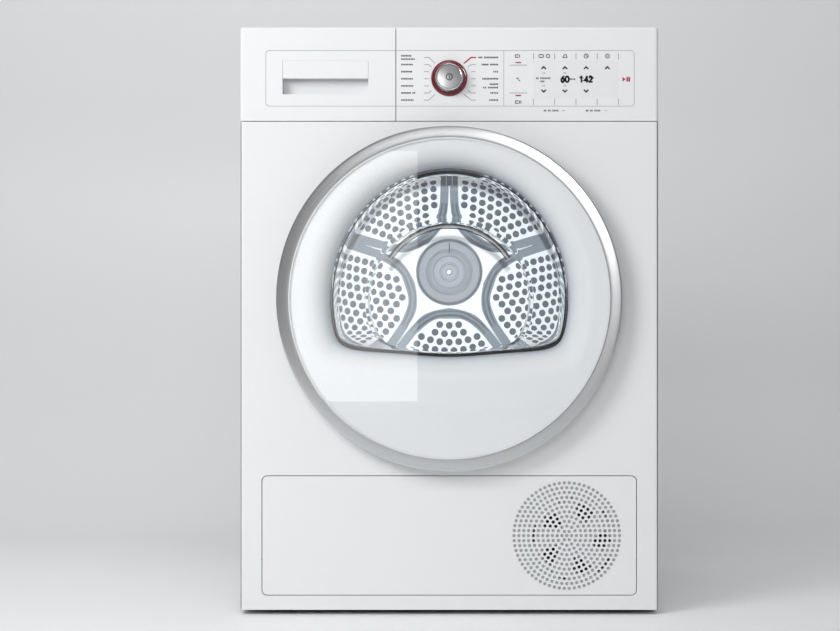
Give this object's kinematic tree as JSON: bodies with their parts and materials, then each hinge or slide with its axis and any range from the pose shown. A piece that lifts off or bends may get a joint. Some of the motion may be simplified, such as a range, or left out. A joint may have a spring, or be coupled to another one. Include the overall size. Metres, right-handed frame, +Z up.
{
  "type": "clothes dryer",
  "caption": "Freestanding heat-pump clothes dryer with a round glass porthole door, water container drawer, program knob and service flap.",
  "frame": {"origin": "on the floor under the centre of the machine's overall box", "axes": "+Z up, the door faces -Y, +X to the right as the user faces the door"},
  "size_m": [0.598, 0.636, 0.84],
  "materials": {
    "white_enamel": "smooth satin enamel",
    "white_plastic": "smooth moulded white",
    "grey_plastic": "fine moulded grain",
    "dark_plastic": "fine moulded grain",
    "black_rubber": "matt",
    "ring_steel": "brushed around the axis",
    "stainless": "satin stainless",
    "zinc_steel": "galvanised",
    "chrome": "polished",
    "aluminium": "cast and rolled",
    "clear_glass": "clear",
    "display_panel": "satin window over grey marks",
    "red_light": "translucent red",
    "felt": "dense wool felt",
    "motor_paint": "dark paint"
  },
  "bodies": {
    "cabinet": {"base_tray": "grey_plastic", "side_panel_left": "white_enamel", "side_panel_right": "white_enamel", "top_panel": "white_enamel", "rear_panel": "zinc_steel", "rear_duct_cover": "zinc_steel", "front_panel": "white_enamel", "control_fascia": "white_plastic", "display_window": "display_panel", "knob_light_ring": "red_light", "hinge_bracket": "zinc_steel", "door_latch_catch": "dark_plastic", "front_bulkhead": "zinc_steel", "loading_collar": "white_plastic", "lint_filter": "grey_plastic", "drum_front_seal": "felt", "rear_bearing_bracket": "zinc_steel", "drum_belt": "black_rubber", "motor_housing": "motor_paint", "blower_housing": "grey_plastic", "evaporator_coil": "aluminium", "condenser_coil": "aluminium", "compressor": "motor_paint", "exchanger_cover": "grey_plastic", "fan_shroud": "grey_plastic", "cable_inlet": "dark_plastic"},
    "knob": {"program_knob": "chrome"},
    "power_key": {"power_button": "ring_steel"},
    "container": {"container_front": "white_plastic", "container_grip": "white_plastic", "container_tub": "white_plastic"},
    "door": {"door_ring": "ring_steel", "door_pane": "clear_glass", "door_bowl_panel": "white_plastic", "window_gasket": "black_rubber", "door_window": "clear_glass", "door_back_frame": "white_plastic", "door_seal": "black_rubber", "door_hook": "stainless"},
    "drum": {"drum_shell": "stainless", "drum_back": "white_enamel", "drum_hub_cap": "ring_steel", "drum_shaft": "zinc_steel", "lifter_1": "grey_plastic", "lifter_2": "grey_plastic", "lifter_3": "grey_plastic"},
    "motor": {"motor_rotor": "aluminium"},
    "idler_arm": {"idler_arm": "zinc_steel"},
    "idler_wheel": {"idler_wheel": "grey_plastic"},
    "roller_left": {"support_roller_left": "grey_plastic"},
    "roller_right": {"support_roller_right": "grey_plastic"},
    "flap": {"service_flap": "white_plastic", "vent_grille": "white_plastic"},
    "fan": {"fan_rotor": "dark_plastic"},
    "lever_left": {"cover_lever_left": "dark_plastic"},
    "lever_right": {"cover_lever_right": "dark_plastic"},
    "foot_front_left": {"foot_front_left": "black_rubber"},
    "foot_front_right": {"foot_front_right": "black_rubber"},
    "foot_rear_left": {"foot_rear_left": "black_rubber"},
    "foot_rear_right": {"foot_rear_right": "black_rubber"}
  },
  "joints": [
    {"name": "door_hinge", "type": "hinge", "parent": "cabinet", "child": "door", "pos_m": [0.2333, -0.306, 0.452], "axis": [0, 0, 1], "range_deg": [0, 150]},
    {"name": "drum_spin", "type": "hinge", "parent": "cabinet", "child": "drum", "pos_m": [0, -0.205, 0.496], "axis": [0, 1, 0], "continuous": true},
    {"name": "motor_spin", "type": "hinge", "parent": "cabinet", "child": "motor", "pos_m": [0.15, 0.016, 0.125], "axis": [0, 1, 0], "continuous": true},
    {"name": "idler_arm_swing", "type": "hinge", "parent": "cabinet", "child": "idler_arm", "pos_m": [0.035, 0.016, 0.125], "axis": [0, 1, 0], "range_deg": [0, 12], "stiffness_Nm_per_rad": 2, "springref_deg": -20.05},
    {"name": "idler_spin", "type": "hinge", "parent": "idler_arm", "child": "idler_wheel", "pos_m": [0.085, 0.016, 0.123], "axis": [0, 1, 0], "continuous": true},
    {"name": "roller_left_spin", "type": "hinge", "parent": "cabinet", "child": "roller_left", "pos_m": [-0.1493, -0.198, 0.23741], "axis": [0, 1, 0], "continuous": true},
    {"name": "roller_right_spin", "type": "hinge", "parent": "cabinet", "child": "roller_right", "pos_m": [0.1493, -0.198, 0.23741], "axis": [0, 1, 0], "continuous": true},
    {"name": "container_slide", "type": "slide", "parent": "cabinet", "child": "container", "axis": [0, -1, 0], "range_m": [0, 0.44]},
    {"name": "knob_turn", "type": "hinge", "parent": "cabinet", "child": "knob", "pos_m": [0, -0.284, 0.7666], "axis": [0, 1, 0], "continuous": true},
    {"name": "power_press", "type": "slide", "parent": "knob", "child": "power_key", "axis": [0, 1, 0], "range_m": [0, 0.0015], "stiffness_N_per_m": 600},
    {"name": "flap_hinge", "type": "hinge", "parent": "cabinet", "child": "flap", "pos_m": [0, -0.283, 0.0335], "axis": [1, 0, 0], "range_deg": [0, 90]},
    {"name": "fan_spin", "type": "hinge", "parent": "cabinet", "child": "fan", "pos_m": [0.178, -0.25, 0.108], "axis": [0, 1, 0], "continuous": true},
    {"name": "lever_left_turn", "type": "hinge", "parent": "cabinet", "child": "lever_left", "pos_m": [-0.24, -0.244, 0.118], "axis": [0, -1, 0], "range_deg": [0, 90]},
    {"name": "lever_right_turn", "type": "hinge", "parent": "cabinet", "child": "lever_right", "pos_m": [0.04, -0.244, 0.118], "axis": [0, 1, 0], "range_deg": [0, 90]},
    {"name": "foot_front_left_height", "type": "slide", "parent": "cabinet", "child": "foot_front_left", "axis": [0, 0, -1], "range_m": [0, 0.012]},
    {"name": "foot_front_right_height", "type": "slide", "parent": "cabinet", "child": "foot_front_right", "axis": [0, 0, -1], "range_m": [0, 0.012]},
    {"name": "foot_rear_left_height", "type": "slide", "parent": "cabinet", "child": "foot_rear_left", "axis": [0, 0, -1], "range_m": [0, 0.012]},
    {"name": "foot_rear_right_height", "type": "slide", "parent": "cabinet", "child": "foot_rear_right", "axis": [0, 0, -1], "range_m": [0, 0.012]}
  ],
  "couplings": [
    {"joint": "motor_spin", "follows": "drum_spin", "ratio": 19.857},
    {"joint": "idler_spin", "follows": "drum_spin", "ratio": -19.857},
    {"joint": "roller_left_spin", "follows": "drum_spin", "ratio": -13.9},
    {"joint": "roller_right_spin", "follows": "drum_spin", "ratio": -13.9}
  ]
}
